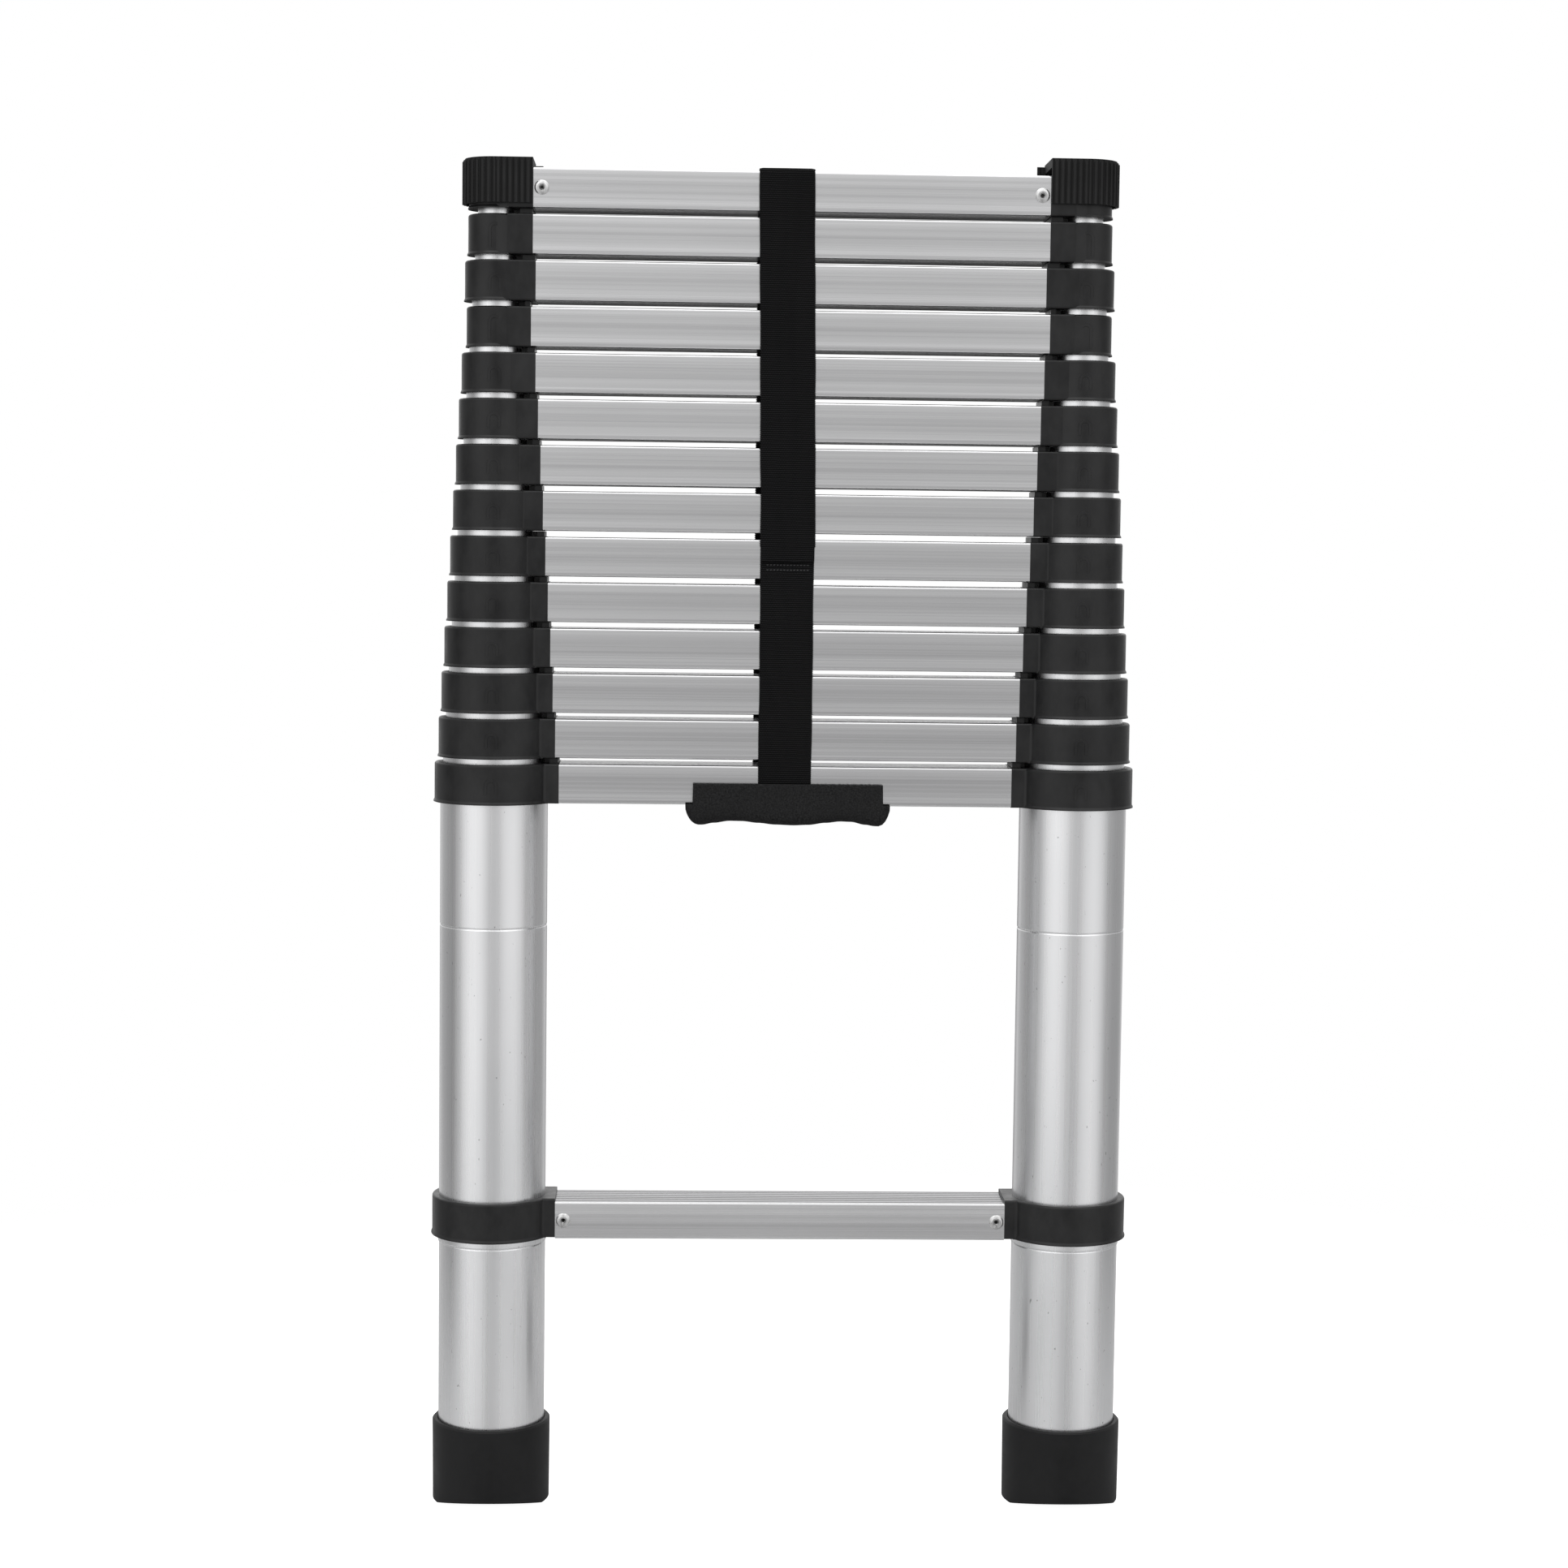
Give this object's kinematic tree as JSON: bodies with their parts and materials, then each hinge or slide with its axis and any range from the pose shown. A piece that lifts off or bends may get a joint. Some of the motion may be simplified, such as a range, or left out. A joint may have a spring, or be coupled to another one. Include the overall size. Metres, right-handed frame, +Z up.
{
  "type": "telescopic ladder",
  "caption": "Telescopic aluminium rung ladder, closed for carrying: nested tube sections with locking collars, rubber feet, ribbed top caps, carrying strap and grip.",
  "frame": {"origin": "on the floor, midway between the two feet", "axes": "+X along the rungs, -Y the front that carries the strap's flap, +Z up along the legs"},
  "size_m": [0.4796, 0.0836, 0.92],
  "materials": {
    "tube_aluminium": "drawn and clear anodised, smooth satin",
    "rung_aluminium": "extruded, fine lengthwise die lines, satin",
    "rivet_aluminium": "bright domed rivet heads",
    "collar_nylon": "moulded glass-filled nylon, fine grain",
    "cap_rubber": "moulded ribbed rubber",
    "foot_rubber": "moulded rubber, slightly dusty",
    "handle_rubber": "soft grained rubber",
    "webbing": "woven polyester webbing",
    "pin_steel": "turned steel",
    "spring_steel": "bright spring wire",
    "button_plastic": "moulded red plastic, ribbed thumb face"
  },
  "bodies": {
    "base": {"outer_tubes": "tube_aluminium", "collars_14": "collar_nylon", "rung_14": "rung_aluminium", "rung_15": "rung_aluminium", "bottom_clamps": "collar_nylon", "bottom_rivets": "rivet_aluminium", "rubber_feet": "foot_rubber", "strap_lower": "webbing", "strap_handle": "handle_rubber", "lock_spring_left": "spring_steel", "lock_spring_right": "spring_steel"},
    "left_lock": {"lock_pin_left": "pin_steel", "release_button_left": "button_plastic"},
    "right_lock": {"lock_pin_right": "pin_steel", "release_button_right": "button_plastic"},
    "section_13": {"tubes_13": "tube_aluminium", "collars_13": "collar_nylon", "rung_13": "rung_aluminium"},
    "section_12": {"tubes_12": "tube_aluminium", "collars_12": "collar_nylon", "rung_12": "rung_aluminium"},
    "section_11": {"tubes_11": "tube_aluminium", "collars_11": "collar_nylon", "rung_11": "rung_aluminium"},
    "section_10": {"tubes_10": "tube_aluminium", "collars_10": "collar_nylon", "rung_10": "rung_aluminium"},
    "section_09": {"tubes_09": "tube_aluminium", "collars_09": "collar_nylon", "rung_09": "rung_aluminium"},
    "section_08": {"tubes_08": "tube_aluminium", "collars_08": "collar_nylon", "rung_08": "rung_aluminium"},
    "section_07": {"tubes_07": "tube_aluminium", "collars_07": "collar_nylon", "rung_07": "rung_aluminium"},
    "section_06": {"tubes_06": "tube_aluminium", "collars_06": "collar_nylon", "rung_06": "rung_aluminium"},
    "section_05": {"tubes_05": "tube_aluminium", "collars_05": "collar_nylon", "rung_05": "rung_aluminium"},
    "section_04": {"tubes_04": "tube_aluminium", "collars_04": "collar_nylon", "rung_04": "rung_aluminium"},
    "section_03": {"tubes_03": "tube_aluminium", "collars_03": "collar_nylon", "rung_03": "rung_aluminium"},
    "section_02": {"tubes_02": "tube_aluminium", "collars_02": "collar_nylon", "rung_02": "rung_aluminium"},
    "section_01": {"tubes_01": "tube_aluminium", "top_collars": "collar_nylon", "top_caps": "cap_rubber", "rung_01": "rung_aluminium", "top_rivets": "rivet_aluminium", "strap_upper": "webbing"}
  },
  "joints": [
    {"name": "section_13_slide", "type": "slide", "parent": "base", "child": "section_13", "axis": [0, 0, 1], "range_m": [0, 0.2694]},
    {"name": "section_12_slide", "type": "slide", "parent": "section_13", "child": "section_12", "axis": [0, 0, 1], "range_m": [0, 0.2694]},
    {"name": "section_11_slide", "type": "slide", "parent": "section_12", "child": "section_11", "axis": [0, 0, 1], "range_m": [0, 0.2694]},
    {"name": "section_10_slide", "type": "slide", "parent": "section_11", "child": "section_10", "axis": [0, 0, 1], "range_m": [0, 0.2694]},
    {"name": "section_09_slide", "type": "slide", "parent": "section_10", "child": "section_09", "axis": [0, 0, 1], "range_m": [0, 0.2694]},
    {"name": "section_08_slide", "type": "slide", "parent": "section_09", "child": "section_08", "axis": [0, 0, 1], "range_m": [0, 0.2694]},
    {"name": "section_07_slide", "type": "slide", "parent": "section_08", "child": "section_07", "axis": [0, 0, 1], "range_m": [0, 0.2694]},
    {"name": "section_06_slide", "type": "slide", "parent": "section_07", "child": "section_06", "axis": [0, 0, 1], "range_m": [0, 0.2694]},
    {"name": "section_05_slide", "type": "slide", "parent": "section_06", "child": "section_05", "axis": [0, 0, 1], "range_m": [0, 0.2694]},
    {"name": "section_04_slide", "type": "slide", "parent": "section_05", "child": "section_04", "axis": [0, 0, 1], "range_m": [0, 0.2694]},
    {"name": "section_03_slide", "type": "slide", "parent": "section_04", "child": "section_03", "axis": [0, 0, 1], "range_m": [0, 0.2694]},
    {"name": "section_02_slide", "type": "slide", "parent": "section_03", "child": "section_02", "axis": [0, 0, 1], "range_m": [0, 0.2694]},
    {"name": "section_01_slide", "type": "slide", "parent": "section_02", "child": "section_01", "axis": [0, 0, 1], "range_m": [0, 0.2694]},
    {"name": "left_release", "type": "slide", "parent": "base", "child": "left_lock", "axis": [1, 0, 0], "range_m": [0, 0.006], "stiffness_N_per_m": 150, "springref_m": -0.01, "deforming": ["lock_spring_left"]},
    {"name": "right_release", "type": "slide", "parent": "base", "child": "right_lock", "axis": [-1, 0, 0], "range_m": [0, 0.006], "stiffness_N_per_m": 150, "springref_m": -0.01, "deforming": ["lock_spring_right"]}
  ]
}
